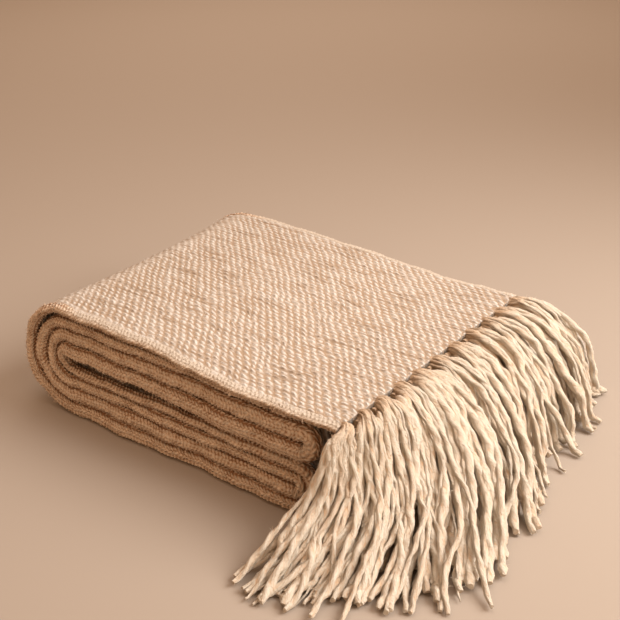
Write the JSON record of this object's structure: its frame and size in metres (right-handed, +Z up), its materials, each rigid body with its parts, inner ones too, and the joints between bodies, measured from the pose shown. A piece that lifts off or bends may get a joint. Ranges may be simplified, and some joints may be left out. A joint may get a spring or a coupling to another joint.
{
  "type": "folded throw blanket",
  "caption": "Wool throw folded back and forth into a flat stack, with a long gathered fringe that arches over one end and fans out on the surface.",
  "frame": {"origin": "middle of the flat underside of the folded stack", "axes": "+X along the stack towards its fringed end, +Y across it towards the far side, +Z up"},
  "size_m": [0.5513, 0.4703, 0.1176],
  "materials": {
    "cloth": "matt chunky woven wool, oatmeal melange",
    "fringe": "matt loosely spun wool yarn, cream"
  },
  "bodies": {
    "root": {"throw_cloth": "cloth", "fringe_group_01": "fringe", "fringe_group_02": "fringe", "fringe_group_03": "fringe", "fringe_group_04": "fringe", "fringe_group_05": "fringe", "fringe_group_06": "fringe", "fringe_group_07": "fringe", "fringe_group_08": "fringe", "fringe_group_09": "fringe", "fringe_group_10": "fringe", "fringe_group_11": "fringe"}
  },
  "joints": []
}
